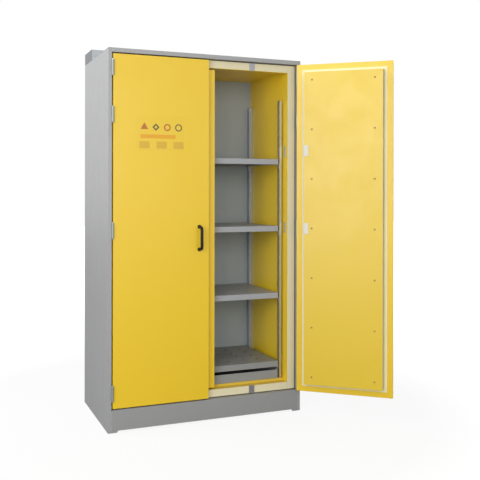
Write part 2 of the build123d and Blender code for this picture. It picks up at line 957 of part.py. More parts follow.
right_cover_end = free_edge - plug_free_inset
left_plug_end = free_edge - flange_width - board_gap
left_lap_end = astragal_edge - astragal_return - board_gap
for door_name, plane, facing, cover_end, plug_end, lap_end in (
    ("left", closed_left, 1, astragal_edge, left_plug_end, left_lap_end),
    ("right", open_right, -1, right_cover_end, right_cover_end, right_cover_end),
):
    finish(build_skin(plane, facing), f"{door_name}_door_skin")
    finish(build_core(plane, facing, plug_end, lap_end), f"{door_name}_door_core")
    finish(build_seal(plane, facing, door_name == "right"), f"{door_name}_door_seal")
    finish(build_cover(plane, facing, cover_end), f"{door_name}_door_cover")
    finish(build_screws(plane, facing, cover_end), f"{door_name}_door_screws")
    finish(build_blocks(plane, facing), f"{door_name}_door_blocks")
    finish(build_door_hinges(plane, facing), f"{door_name}_hinge_plates")
    finish(build_handle(plane, facing), f"{door_name}_handle")

# Astragal: the folded strip along the left door's meeting edge, behind the right door

with BuildPart() as astragal:
    step_at = free_edge - board_gap - skin_sheet
    folded_sheet(
        closed_left.offset(plug_bottom),
        [
            (astragal_start, skin_back + fitting_gap),
            (step_at, skin_back + fitting_gap),
            (step_at, astragal_face),
            (astragal_edge, astragal_face),
            (astragal_edge, cover_face),
            (astragal_edge - astragal_return, cover_face),
        ],
        skin_sheet,
        plug_top - plug_bottom,
    )
finish(astragal, "left_door_astragal")
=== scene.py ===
import json
import math

import bmesh
import bpy
from mathutils import Matrix, Vector


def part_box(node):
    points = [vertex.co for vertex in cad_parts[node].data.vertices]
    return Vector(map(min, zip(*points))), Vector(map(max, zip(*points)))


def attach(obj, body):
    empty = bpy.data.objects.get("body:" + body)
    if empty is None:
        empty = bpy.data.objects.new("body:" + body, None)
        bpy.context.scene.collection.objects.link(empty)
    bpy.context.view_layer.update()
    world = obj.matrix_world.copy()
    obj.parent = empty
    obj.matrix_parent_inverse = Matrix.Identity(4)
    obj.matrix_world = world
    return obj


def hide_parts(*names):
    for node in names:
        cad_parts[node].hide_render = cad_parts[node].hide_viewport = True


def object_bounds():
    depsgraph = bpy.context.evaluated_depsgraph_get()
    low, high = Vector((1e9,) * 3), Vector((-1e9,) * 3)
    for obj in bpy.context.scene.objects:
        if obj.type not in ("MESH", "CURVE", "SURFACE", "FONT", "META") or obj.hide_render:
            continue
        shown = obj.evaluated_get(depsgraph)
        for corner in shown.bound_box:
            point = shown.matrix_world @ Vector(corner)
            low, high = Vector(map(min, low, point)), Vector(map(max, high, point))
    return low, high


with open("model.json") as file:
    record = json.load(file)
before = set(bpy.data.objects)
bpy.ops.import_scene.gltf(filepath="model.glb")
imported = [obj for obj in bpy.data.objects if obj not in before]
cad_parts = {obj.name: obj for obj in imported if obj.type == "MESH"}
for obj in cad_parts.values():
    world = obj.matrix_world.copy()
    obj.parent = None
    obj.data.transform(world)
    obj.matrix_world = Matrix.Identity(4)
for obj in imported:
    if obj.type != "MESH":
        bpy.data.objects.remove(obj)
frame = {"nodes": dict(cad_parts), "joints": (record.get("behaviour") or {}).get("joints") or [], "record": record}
cadLow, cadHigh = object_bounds()
print("frame loaded:", len(frame["nodes"]), "nodes")


# places read from the frame, in metres
def boxOf(node):
    low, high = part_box(node)
    return Vector(low), Vector(high)


leftSkinLow, leftSkinHigh = boxOf("left_door_skin")
casingLow, casingHigh = boxOf("roof_panel")
jointOf = {joint["name"]: joint for joint in frame["joints"]}


# node groups shared by the materials

def newGroup(name, inputs, outputs):
    group = bpy.data.node_groups.new(name, "ShaderNodeTree")
    for label, kind, value in inputs:
        socket = group.interface.new_socket(name=label, in_out="INPUT", socket_type=kind)
        socket.default_value = value
    for label, kind in outputs:
        group.interface.new_socket(name=label, in_out="OUTPUT", socket_type=kind)
    ends = group.nodes.new("NodeGroupInput"), group.nodes.new("NodeGroupOutput")
    return group, ends[0], ends[1]


def addNode(tree, kind, **settings):
    node = tree.nodes.new(kind)
    for key, value in settings.items():
        setattr(node, key, value)
    return node


def addNoise(tree, vector, scale, detail=3.0, roughness=0.5):
    noise = addNode(tree, "ShaderNodeTexNoise")
    noise.inputs["Detail"].default_value = detail
    noise.inputs["Roughness"].default_value = roughness
    tree.links.new(vector, noise.inputs["Vector"])
    if isinstance(scale, float):
        noise.inputs["Scale"].default_value = scale
    else:
        tree.links.new(scale, noise.inputs["Scale"])
    return noise


def addRange(tree, value, low, high, outLow, outHigh):
    fit = addNode(tree, "ShaderNodeMapRange")
    tree.links.new(value, fit.inputs["Value"])
    for label, number in (("From Min", low), ("From Max", high), ("To Min", outLow), ("To Max", outHigh)):
        if isinstance(number, float):
            fit.inputs[label].default_value = number
        else:
            tree.links.new(number, fit.inputs[label])
    return fit.outputs["Result"]


def mixColors(tree, factor, first, second, blend="MIX"):
    mix = addNode(tree, "ShaderNodeMix", data_type="RGBA", blend_type=blend)
    for socket, source in ((mix.inputs["Factor"], factor), (mix.inputs["A"], first), (mix.inputs["B"], second)):
        if isinstance(source, (float, tuple)):
            socket.default_value = source
        else:
            tree.links.new(source, socket)
    return mix.outputs["Result"]


def buildPowderCoat():
    # orange-peel texture, faint cloudy tone and a little dust
    inputs = [
        ("Color", "NodeSocketColor", (0.5, 0.5, 0.5, 1)),
        ("Tone", "NodeSocketFloat", 0.05),
        ("Peel Scale", "NodeSocketFloat", 700.0),
        ("Gloss Low", "NodeSocketFloat", 0.34),
        ("Gloss High", "NodeSocketFloat", 0.46),
    ]
    outputs = [("Color", "NodeSocketColor"), ("Roughness", "NodeSocketFloat"), ("Height", "NodeSocketFloat")]
    group, start, end = newGroup("powderCoat", inputs, outputs)
    place = addNode(group, "ShaderNodeTexCoord").outputs["Object"]
    cloud = addNoise(group, place, 2.2, 4.0).outputs["Fac"]
    peel = addNoise(group, place, start.outputs["Peel Scale"], 2.0).outputs["Fac"]
    smudge = addNoise(group, place, 9.0, 5.0, 0.6).outputs["Fac"]
    darker = mixColors(group, 1.0, start.outputs["Color"], (0.82, 0.82, 0.82, 1), "MULTIPLY")
    toned = addNode(group, "ShaderNodeMath", operation="MULTIPLY")
    group.links.new(cloud, toned.inputs[0])
    group.links.new(start.outputs["Tone"], toned.inputs[1])
    shaded = mixColors(group, toned.outputs[0], start.outputs["Color"], darker)
    group.links.new(shaded, end.inputs["Color"])
    gloss = addRange(group, smudge, 0.3, 0.7, start.outputs["Gloss Low"], start.outputs["Gloss High"])
    group.links.new(gloss, end.inputs["Roughness"])
    group.links.new(peel, end.inputs["Height"])
    return group


def buildBoardGrain():
    # pressed board: fine fibres, pores and a slow change of tone
    inputs = [
        ("Color", "NodeSocketColor", (0.6, 0.56, 0.42, 1)),
        ("Second", "NodeSocketColor", (0.5, 0.47, 0.36, 1)),
        ("Fibre Scale", "NodeSocketFloat", 160.0),
    ]
    outputs = [("Color", "NodeSocketColor"), ("Roughness", "NodeSocketFloat"), ("Height", "NodeSocketFloat")]
    group, start, end = newGroup("boardGrain", inputs, outputs)
    place = addNode(group, "ShaderNodeTexCoord").outputs["Object"]
    fibres = addNoise(group, place, start.outputs["Fibre Scale"], 6.0, 0.65).outputs["Fac"]
    patches = addNoise(group, place, 6.0, 3.0).outputs["Fac"]
    pores = addNode(group, "ShaderNodeTexVoronoi", feature="F1")
    pores.inputs["Scale"].default_value = 420.0
    group.links.new(place, pores.inputs["Vector"])
    blend = addNode(group, "ShaderNodeMath", operation="MULTIPLY")
    group.links.new(fibres, blend.inputs[0])
    group.links.new(patches, blend.inputs[1])
    group.links.new(mixColors(group, addRange(group, blend.outputs[0], 0.1, 0.45, 0.0, 1.0),
                              start.outputs["Color"], start.outputs["Second"]), end.inputs["Color"])
    group.links.new(addRange(group, patches, 0.2, 0.8, 0.72, 0.88), end.inputs["Roughness"])
    relief = addNode(group, "ShaderNodeMath", operation="ADD")
    group.links.new(fibres, relief.inputs[0])
    group.links.new(pores.outputs["Distance"], relief.inputs[1])
    group.links.new(relief.outputs[0], end.inputs["Height"])
    return group


def buildBrushedZinc():
    # zinc plate: spangle patches and short drawn scratches
    inputs = [
        ("Color", "NodeSocketColor", (0.6, 0.6, 0.58, 1)),
        ("Spangle", "NodeSocketFloat", 0.3),
        ("Stretch", "NodeSocketVector", (300.0, 300.0, 8.0)),
    ]
    outputs = [("Color", "NodeSocketColor"), ("Roughness", "NodeSocketFloat"), ("Height", "NodeSocketFloat")]
    group, start, end = newGroup("brushedZinc", inputs, outputs)
    place = addNode(group, "ShaderNodeTexCoord").outputs["Object"]
    spangle = addNode(group, "ShaderNodeTexVoronoi", feature="F1")
    spangle.inputs["Scale"].default_value = 120.0
    group.links.new(place, spangle.inputs["Vector"])
    stretched = addNode(group, "ShaderNodeVectorMath", operation="MULTIPLY")
    group.links.new(place, stretched.inputs[0])
    group.links.new(start.outputs["Stretch"], stretched.inputs[1])
    drawn = addNoise(group, stretched.outputs[0], 1.0, 2.0).outputs["Fac"]
    darker = mixColors(group, 1.0, start.outputs["Color"], (0.75, 0.76, 0.78, 1), "MULTIPLY")
    cell = addNode(group, "ShaderNodeSeparateColor")
    group.links.new(spangle.outputs["Color"], cell.inputs["Color"])
    amount = addNode(group, "ShaderNodeMath", operation="MULTIPLY")
    group.links.new(cell.outputs["Red"], amount.inputs[0])
    group.links.new(start.outputs["Spangle"], amount.inputs[1])
    group.links.new(mixColors(group, amount.outputs[0], start.outputs["Color"], darker), end.inputs["Color"])
    group.links.new(addRange(group, drawn, 0.3, 0.7, 0.28, 0.45), end.inputs["Roughness"])
    group.links.new(drawn, end.inputs["Height"])
    return group


powderCoat = buildPowderCoat()
boardGrain = buildBoardGrain()
brushedZinc = buildBrushedZinc()


# materials

def newMaterial(name, group, values, bump, distance, **shader):
    material = bpy.data.materials.new(name)
    material.use_nodes = True
    tree = material.node_tree
    principled = tree.nodes["Principled BSDF"]
    for label, value in shader.items():
        principled.inputs[label.replace("_", " ")].default_value = value
    finish = addNode(tree, "ShaderNodeGroup", node_tree=group)
    for label, value in values.items():
        finish.inputs[label].default_value = value
    tree.links.new(finish.outputs["Color"], principled.inputs["Base Color"])
    tree.links.new(finish.outputs["Roughness"], principled.inputs["Roughness"])
    relief = addNode(tree, "ShaderNodeBump")
    relief.inputs["Strength"].default_value = bump
    relief.inputs["Distance"].default_value = distance
    tree.links.new(finish.outputs["Height"], relief.inputs["Height"])
    tree.links.new(relief.outputs["Normal"], principled.inputs["Normal"])
    return material


def newPaint(name, color, tone=0.1, glossLow=0.36, glossHigh=0.46, peel=700.0, coat=0.0):
    values = {"Color": color, "Tone": tone, "Gloss Low": glossLow, "Gloss High": glossHigh, "Peel Scale": peel}
    return newMaterial(name, powderCoat, values, 0.05, 0.0004, Coat_Weight=coat, Specular_IOR_Level=0.5)


paintColors = {
    "casingPaint": (0.315, 0.317, 0.32, 1),
    # painted shade: the plinth gets a darker copy of the casing grey, for the shade low down near the floor
    "plinthShadedPaint": (0.29, 0.295, 0.29, 1),
    # painted light: the duct box's front gets a lighter copy of the casing grey, for the light falling on it from
    # above
    "ductLitPaint": (0.42, 0.45, 0.47, 1),
    # painted shade: the duct box's end gets a dark copy of the casing grey, for the shade on that face
    "ductEndShadedPaint": (0.14, 0.15, 0.155, 1),
    "doorPaint": (0.775, 0.52, 0.005, 1),
    # painted shade: the doors' inner covers get a darker copy of the door yellow, to hold back the key lamp's
    # light on the right door's cover
    "coverPaint": (0.69, 0.48, 0.010, 1),
    # painted light: the liner yellow is lighter than the door yellow, to stand in for light on the liner's front
    # strip
    "linerPaint": (0.96, 0.665, 0.02, 1),
    # painted shade: the bottom liner gets a darker copy of the liner yellow, for the shade at the bottom of the
    # cabinet
    "sillShadedPaint": (0.64, 0.445, 0.045, 1),
    "interiorPaint": (0.375, 0.425, 0.455, 1),
    "shelfPaint": (0.335, 0.345, 0.36, 1),
    # painted shade: the sump tray and insert get a darker copy of the shelf grey, for the shade at the bottom
    "sumpShadedPaint": (0.255, 0.26, 0.255, 1),
    "screwPaint": (0.34, 0.23, 0.05, 1),
}
materials = {name: newPaint(name, color) for name, color in paintColors.items()}
for name, level in (("doorPaint", 0.75), ("coverPaint", 0.8), ("casingPaint", 0.9), ("linerPaint", 1.0)):
    materials[name].node_tree.nodes["Principled BSDF"].inputs["Specular IOR Level"].default_value = level
materials["fireBoard"] = newMaterial(
    "fireBoard", boardGrain,
    {"Color": (0.74, 0.67, 0.45, 1), "Second": (0.69, 0.63, 0.41, 1), "Fibre Scale": 160.0}, 0.15, 0.0005)
materials["mineralBoard"] = newMaterial(
    "mineralBoard", boardGrain,
    {"Color": (0.62, 0.60, 0.52, 1), "Second": (0.5, 0.48, 0.42, 1), "Fibre Scale": 90.0}, 0.3, 0.001)
materials["sealStrip"] = newMaterial(
    "sealStrip", boardGrain,
    {"Color": (0.86, 0.79, 0.47, 1), "Second": (0.80, 0.73, 0.42, 1), "Fibre Scale": 300.0}, 0.1, 0.0004)
materials["zincPlate"] = newMaterial(
    "zincPlate", brushedZinc,
    {"Color": (0.60, 0.59, 0.56, 1), "Spangle": 0.35}, 0.05, 0.0002, Metallic=0.85)
materials["jointZinc"] = newMaterial(
    "jointZinc", brushedZinc,
    {"Color": (0.40, 0.39, 0.41, 1), "Spangle": 0.25}, 0.05, 0.0002, Metallic=0.85)
materials["hingeZinc"] = newMaterial(
    "hingeZinc", brushedZinc,
    {"Color": (0.29, 0.315, 0.30, 1), "Spangle": 0.2}, 0.05, 0.0002, Metallic=0.35)
materials["uprightZinc"] = newMaterial(
    "uprightZinc", brushedZinc,
    {"Color": (0.54, 0.50, 0.34, 1), "Spangle": 0.3}, 0.05, 0.0002, Metallic=0.8)
# painted shade: the rear uprights get a darker, duller copy of the upright zinc, for the shade in the back corners
materials["rearUprightShadedZinc"] = newMaterial(
    "rearUprightShadedZinc", brushedZinc,
    {"Color": (0.42, 0.45, 0.47, 1), "Spangle": 0.3}, 0.05, 0.0002, Metallic=0.3)
materials["whiteMoulding"] = newPaint("whiteMoulding", (0.66, 0.64, 0.55, 1), 0.05, 0.4, 0.55, 900.0)
materials["blackMoulding"] = newPaint("blackMoulding", (0.011, 0.009, 0.006, 1), 0.2, 0.42, 0.55, 1100.0)
materials["blackMoulding"].node_tree.nodes["Principled BSDF"].inputs["Specular IOR Level"].default_value = 0.3
materials["plateFilm"] = newPaint("plateFilm", (0.76, 0.515, 0.02, 1), 0.04, 0.3, 0.38, 300.0)
for ink, color in (("warmInk", (0.45, 0.15, 0.015, 1)), ("darkInk", (0.07, 0.065, 0.03, 1)),
                   ("orangeInk", (0.72, 0.345, 0.004, 1)), ("paleInk", (0.63, 0.39, 0.025, 1))):
    materials[ink] = newPaint(ink, color, 0.04, 0.35, 0.45, 300.0)
# painted shade: near-black paint for the groove strip, partly a seal's colour and partly the groove's shade
materials["sealAndShadeDark"] = newPaint("sealAndShadeDark", (0.07, 0.055, 0.04, 1), 0.1, 0.7, 0.85, 500.0)
print("materials made:", len(materials))

finishOfSlot = {
    "casing_grey": "casingPaint",
    "dark_grey": "ductEndShadedPaint",
    # painted shade: the dark_grey slot takes the duct end's dark copy of the casing grey
    "door_yellow": "doorPaint",
    "liner_yellow": "linerPaint",
    "interior_grey": "interiorPaint",
    "shelf_grey": "shelfPaint",
    "zinc_steel": "zincPlate",
    "foot_steel": "zincPlate",
    "fire_board": "fireBoard",
    "insulation_board": "mineralBoard",
    "seal": "sealStrip",
    "white_plastic": "whiteMoulding",
    "black_plastic": "blackMoulding",
}
slotOfNode = {part["node"]: part["material_slot"] for part in frame["record"]["subparts"]}
# lit and shaded copies of paints: the plinth, duct box, door covers, bottom liner, sump and rear uprights carry
# painted light or painted shade
finishOfNode = {"bottom_liner": "sillShadedPaint", "sump_tray": "sumpShadedPaint", "sump_insert": "sumpShadedPaint",
                "left_door_cover": "coverPaint", "right_door_cover": "coverPaint",
                "left_hinge_plates": "hingeZinc", "right_hinge_plates": "hingeZinc",
                "frame_hinge_plates": "hingeZinc", "duct_box": "ductLitPaint", "plinth_front": "plinthShadedPaint", "joint_plates": "jointZinc",
                "left_rear_upright": "rearUprightShadedZinc", "right_rear_upright": "rearUprightShadedZinc"}
for name, node in frame["nodes"].items():
    finish = materials[finishOfNode.get(name, finishOfSlot[slotOfNode[name]])]
    node.data.materials.clear()
    node.data.materials.append(finish)
print("nodes finished:", len(frame["nodes"]))


# mesh helpers

def newPiece(name, mesh, material, body, bevel=0.0):
    mesh.normal_update()
    data = bpy.data.meshes.new(name)
    mesh.to_mesh(data)
    mesh.free()
    piece = bpy.data.objects.new(name, data)
    bpy.context.scene.collection.objects.link(piece)
    data.materials.append(material)
    if bevel:
        rounding = piece.modifiers.new("edges", "BEVEL")
        rounding.width = bevel
        rounding.segments = 3
        rounding.limit_method = "ANGLE"
    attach(piece, body)
    return piece


def addBlock(mesh, low, high, turn=None):
    size = Vector(high) - Vector(low)
    centre = (Vector(high) + Vector(low)) / 2
    place = Matrix.Translation(centre) @ Matrix.Diagonal((*size, 1))
    if turn is not None:
        place = turn @ place
    bmesh.ops.create_cube(mesh, size=1.0, matrix=place)


def cutAway(solid, tool):
    # both are bmesh; gives the mesh of the first less the second
    things = []
    for name, mesh in (("solid", solid), ("tool", tool)):
        data = bpy.data.meshes.new(name)
        mesh.to_mesh(data)
        mesh.free()
        thing = bpy.data.objects.new(name, data)
        bpy.context.scene.collection.objects.link(thing)
        things.append(thing)
    cut = things[0].modifiers.new("cut", "BOOLEAN")
    cut.operation = "DIFFERENCE"
    cut.use_self = True
    cut.object = things[1]
    shaped = things[0].evaluated_get(bpy.context.evaluated_depsgraph_get())
    result = bpy.data.meshes.new_from_object(shaped)
    for thing in things:
        bpy.data.objects.remove(thing)
    return result


# bare label plate on the left door
labelPlate = {"left": 0.145, "right": 0.401, "bottom": 1.432, "top": 1.615, "thickness": 0.0006, "corner": 0.006}


def buildLabelPlate():
    mesh = bmesh.new()
    edge = casingLow.x
    addBlock(
        mesh,
        (edge + labelPlate["left"], leftSkinLow.y - labelPlate["thickness"], labelPlate["bottom"]),
        (edge + labelPlate["right"], leftSkinLow.y, labelPlate["top"]),
    )
    uprightEdges = [e for e in mesh.edges if abs((e.verts[0].co - e.verts[1].co).y) > 0.0001]
    bmesh.ops.bevel(mesh, geom=uprightEdges, offset=labelPlate["corner"], segments=5, affect="EDGES")
    return newPiece("labelPlate", mesh, materials["plateFilm"], "left_door")


buildLabelPlate()
print("label plate made")


# plain printed marks on the plate: a row of generic shapes, a bar and three blocks
labelMarks = {"sheet": 0.0003, "size": 0.038, "rowHeight": 0.122, "firstAcross": 0.043, "pitch": 0.0615,
              "barHeight": 0.064, "barThick": 0.020, "barLength": 0.190, "blockHeight": 0.012,
              "blockWide": 0.055, "blockTall": 0.036}


def addMark(mesh, corners, across, hole=0.0, grow=1.0):
    # a flat shape of that many corners on the plate's face, with a hole that is a share of its size
    face = leftSkinLow.y - labelPlate["thickness"]
    x = casingLow.x + labelPlate["left"] + across
    z = labelPlate["bottom"] + labelMarks["rowHeight"]
    radii = [grow * labelMarks["size"] / 2]
    if hole:
        radii.append(hole * radii[0])
    rings = []
    for y in (face, face - labelMarks["sheet"]):
        for radius in radii:
            turns = [math.radians(90) + 2 * math.pi * i / corners for i in range(corners)]
            rings.append([mesh.verts.new((x + radius * math.cos(t), y, z + radius * math.sin(t))) for t in turns])
    pairs = ((0, 1), (0, 2), (1, 3), (2, 3)) if hole else ((0, 1),)
    for first, second in pairs:
        for i in range(corners):
            j = (i + 1) % corners
            mesh.faces.new((rings[first][i], rings[first][j], rings[second][j], rings[second][i]))
    if not hole:
        mesh.faces.new(rings[0])
        mesh.faces.new(rings[1])


def addMarkBlock(mesh, across, up, width, height):
    face = leftSkinLow.y - labelPlate["thickness"]
    left = casingLow.x + labelPlate["left"] + across
    bottom = labelPlate["bottom"] + up
    addBlock(mesh, (left, face - labelMarks["sheet"], bottom), (left + width, face, bottom + height))


def buildLabelMarks():
    across = [labelMarks["firstAcross"] + i * labelMarks["pitch"] for i in range(4)]
    warm = bmesh.new()
    addMark(warm, 3, across[0], grow=1.25)
    addMark(warm, 28, across[2], 0.6)
    dark = bmesh.new()
    addMark(dark, 4, across[1], 0.5)
    addMark(dark, 28, across[3], 0.7)
    bar = bmesh.new()
    addMarkBlock(bar, labelMarks["firstAcross"] / 2, labelMarks["barHeight"],
                 labelMarks["barLength"], labelMarks["barThick"])
    pale = bmesh.new()
    for place in (across[0], (across[1] + across[2]) / 2, across[3]):
        addMarkBlock(pale, place - labelMarks["blockWide"] / 2, labelMarks["blockHeight"],
                     labelMarks["blockWide"], labelMarks["blockTall"])
    for name, mesh, finish in (("labelWarmMarks", warm, "warmInk"), ("labelDarkMarks", dark, "darkInk"),
                               ("labelBar", bar, "orangeInk"), ("labelBlocks", pale, "paleInk")):
        bmesh.ops.recalc_face_normals(mesh, faces=mesh.faces)
        newPiece(name, mesh, materials[finish], "left_door")


buildLabelMarks()
print("label marks made")


# dark strip in the groove round the frame boards, with a lip over the boards' edge; its near-black is partly a
# seal and partly painted shade for the groove
grooveSealShade = {"lip": 0.0008, "lipThickness": 0.0006, "depth": 0.030, "clearance": 0.0002, "edge": 0.0002}


def addGrooveSealShadeRun(mesh, inner, outer, boardEdge, face, start, length, swap):
    # section across the groove: lip in front of the board, stem beside it
    front = face - grooveSealShade["lipThickness"]
    lipEdge = boardEdge + math.copysign(grooveSealShade["lip"], inner - outer)
    beside = boardEdge + math.copysign(grooveSealShade["clearance"], outer - inner)
    wall = outer + math.copysign(grooveSealShade["clearance"], inner - outer)
    behind = face - grooveSealShade["clearance"]
    section = [(lipEdge, front), (wall, front), (wall, face + grooveSealShade["depth"]),
               (beside, face + grooveSealShade["depth"]), (beside, behind), (lipEdge, behind)]
    rings = []
    for along in (start, start + length):
        rings.append([mesh.verts.new((along, y, across) if swap else (across, y, along)) for across, y in section])
    for i in range(len(section)):
        j = (i + 1) % len(section)
        mesh.faces.new((rings[0][i], rings[0][j], rings[1][j], rings[1][i]))
    mesh.faces.new(rings[0])
    mesh.faces.new(rings[1])


def buildFrameGrooveSealShade():
    mesh = bmesh.new()
    boardLow, boardHigh = boxOf("left_frame_board")
    fasciaBottom = boxOf("roof_panel")[0].z
    plinthTop = boxOf("plinth_front")[1].z
    stripEdge = boxOf("left_side_panel")[1].x
    face = boardLow.y
    height = boardHigh.z - boardLow.z
    for side in (1, -1):
        addGrooveSealShadeRun(mesh, 0.0, side * stripEdge, side * boardLow.x, face, boardLow.z, height, False)
    reach = -boardLow.x
    for edge, board in ((fasciaBottom, boardHigh.z), (plinthTop, boardLow.z)):
        middle = (fasciaBottom + plinthTop) / 2
        addGrooveSealShadeRun(mesh, middle, edge, board, face, -reach, 2 * reach, True)
    bmesh.ops.recalc_face_normals(mesh, faces=mesh.faces)
    return newPiece("frameGrooveSealShade", mesh, materials["sealAndShadeDark"], "carcass", grooveSealShade["edge"])


buildFrameGrooveSealShade()
print("frame gasket made")


# pan-head screws with cross recesses, in place of the plain ones
panScrew = {"headHeight": 0.002, "rim": 0.0006, "shank": 0.002, "grip": 0.0013, "steps": 28,
            "recessLength": 0.0052, "recessWidth": 0.0011, "recessDepth": 0.0011, "rows": 7}


def doorTurn(door):
    # how far the door stands open at rest; both doors shut towards the low end of their range
    if door == "left_door":
        return 0.0
    return math.radians(-jointOf[door + "_hinge"]["range_deg"][0])


def turnAbout(door, angle):
    axis = Vector(jointOf[door + "_hinge"]["pos_m"])
    return Matrix.Translation(axis) @ Matrix.Rotation(angle, 4, "Z") @ Matrix.Translation(-axis)


def shutBox(node, door):
    shut = turnAbout(door, -doorTurn(door)) @ frame["nodes"][node].matrix_world
    points = [shut @ vertex.co for vertex in frame["nodes"][node].data.vertices]
    low = Vector([min(point[i] for point in points) for i in range(3)])
    high = Vector([max(point[i] for point in points) for i in range(3)])
    return low, high


def screwTemplate(radius):
    # lathed round the Y axis, head towards +Y, its seat at y = 0
    mesh = bmesh.new()
    top = panScrew["headHeight"]
    dome = [(radius * math.cos(a), panScrew["rim"] + (top - panScrew["rim"]) * math.sin(a))
            for a in (math.radians(step) for step in range(0, 90, 15))]
    profile = [(panScrew["shank"], -panScrew["grip"]), (panScrew["shank"], 0.0), (radius, 0.0)] + dome
    rings = []
    for across, y in profile:
        turns = [2 * math.pi * step / panScrew["steps"] for step in range(panScrew["steps"])]
        rings.append([mesh.verts.new((across * math.cos(t), y, across * math.sin(t))) for t in turns])
    for first, second in zip(rings, rings[1:]):
        for i in range(panScrew["steps"]):
            j = (i + 1) % panScrew["steps"]
            mesh.faces.new((first[i], first[j], second[j], second[i]))
    mesh.faces.new(rings[0])
    mesh.faces.new(rings[-1])
    bmesh.ops.recalc_face_normals(mesh, faces=mesh.faces)
    cross = bmesh.new()
    half = panScrew["recessLength"] / 2
    thin = panScrew["recessWidth"] / 2
    floorOf = top - panScrew["recessDepth"]
    for x, z in ((half, thin), (thin, half)):
        addBlock(cross, (-x, floorOf, -z), (x, top * 2, z))
    return cutAway(mesh, cross)


def buildDoorScrews(door):
    node = door + "_screws"
    low, high = shutBox(node, door)
    cover = shutBox(door + "_cover", door)[1].y
    radius = screwRadius
    template = screwTemplate(radius)
    mesh = bmesh.new()
    pitch = (high.z - low.z - 2 * radius) / (panScrew["rows"] - 1)
    for x in (low.x + radius, high.x - radius):
        for row in range(panScrew["rows"]):
            spot = Vector((x, cover, low.z + radius + row * pitch))
            turned = turnAbout(door, doorTurn(door)) @ Matrix.Translation(spot) @ Matrix.Rotation(
                math.radians(17 * row + 40 * x), 4, "Y")
            copy = template.copy()
            copy.transform(turned)
            mesh.from_mesh(copy)
            bpy.data.meshes.remove(copy)
    piece = newPiece(door + "PanScrews", mesh, materials["screwPaint"], door)
    piece.data.shade_smooth()
    piece.data.set_sharp_from_angle(angle=math.radians(35))
    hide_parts(node)
    return piece


screwRadius = 0.005
for door in ("left_door", "right_door"):
    buildDoorScrews(door)
print("door screws made")


# slotted front uprights: a narrow lip in front, a full flange behind
frontUpright = {"lip": 0.014, "sheet": 0.0015, "slotWidth": 0.008, "slotHeight": 0.020,
                "slotPitch": 0.047, "firstSlot": 0.0527, "edge": 0.0004}


def buildFrontUpright(node, side):
    low, high = boxOf(node)
    inner = low.x if side > 0 else high.x
    liner = high.x if side > 0 else low.x
    sheet = frontUpright["sheet"]
    outline = [(inner, low.y), (inner + side * frontUpright["lip"], low.y),
               (inner + side * frontUpright["lip"], low.y + sheet), (inner + side * sheet, low.y + sheet),
               (inner + side * sheet, high.y - sheet), (liner, high.y - sheet), (liner, high.y), (inner, high.y)]
    channel = bmesh.new()
    ends = [[channel.verts.new((x, y, z)) for x, y in outline] for z in (low.z, high.z)]
    for i in range(len(outline)):
        j = (i + 1) % len(outline)
        channel.faces.new((ends[0][i], ends[0][j], ends[1][j], ends[1][i]))
    channel.faces.new(ends[0])
    channel.faces.new(ends[1])
    bmesh.ops.recalc_face_normals(channel, faces=channel.faces)
    slots = bmesh.new()
    middle = (low.y + high.y) / 2
    start = low.z + frontUpright["firstSlot"]
    while start < high.z - frontUpright["slotHeight"]:
        addBlock(slots, (inner - 2 * sheet, middle - frontUpright["slotWidth"] / 2, start),
                 (inner + 2 * sheet, middle + frontUpright["slotWidth"] / 2, start + frontUpright["slotHeight"]))
        start += frontUpright["slotPitch"]
    mesh = bmesh.new()
    mesh.from_mesh(cutAway(channel, slots))
    name = "rightFrontChannel" if side > 0 else "leftFrontChannel"
    piece = newPiece(name, mesh, materials["uprightZinc"], "carcass", frontUpright["edge"])
    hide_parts(node)


buildFrontUpright("left_front_upright", -1)
buildFrontUpright("right_front_upright", 1)
print("front uprights made")


# small rounding on the edges of folded sheets, boards and seals
edgeRounding = {
    "sheetEdge": (0.0006, ["left_door_skin", "right_door_skin",
                           "left_side_panel", "right_side_panel", "roof_panel", "plinth_front",
                           "left_door_astragal"]),
    "shelfEdge": (0.0005, ["lower_shelf", "middle_shelf", "top_shelf", "sump_tray", "bottom_liner"]),
    "boardEdge": (0.001, ["left_frame_board", "right_frame_board", "top_frame_board", "bottom_frame_board"]),
    "sealEdge": (0.0008, ["left_door_seal", "right_door_seal", "left_door_blocks", "right_door_blocks"]),
}


def roundEdges():
    for kind, (width, names) in edgeRounding.items():
        for name in names:
            node = frame["nodes"][name]
            weld = node.modifiers.new("weld", "WELD")
            weld.merge_threshold = 0.00001
            rounding = node.modifiers.new(kind, "BEVEL")
            rounding.width = width
            rounding.segments = 2
            rounding.limit_method = "ANGLE"
            rounding.angle_limit = math.radians(40)


roundEdges()
print("edges rounded")


# floor, lamps, world and camera
studio = {
    "floorColor": (0.22, 0.22, 0.22, 1),
    "glowNear": 0.72,  # share of plain white in what the camera sees of the floor
    "glowStrength": 1.25,
    "glossShare": 0.02,
    "skyGlossShare": 0.5,
    "nearRing": 1.3,
    "farRing": 3.2,
    "worldLight": 0.59,
    # name, place, target, width, height, power
    "lamps": [
        ("keyLamp", (-3.2, -3.6, 1.85), (0.3, -0.2, 1.1), 2.8, 2.6, 113.0),
        ("sideLamp", (-3.0, 0.5, 3.3), (-0.5, 0.0, 1.5), 2.0, 1.6, 84.0),
        ("fillLamp", (-0.3, -5.4, 1.8), (0.1, 0.0, 0.9), 4.0, 2.4, 66.0),
    ],
}


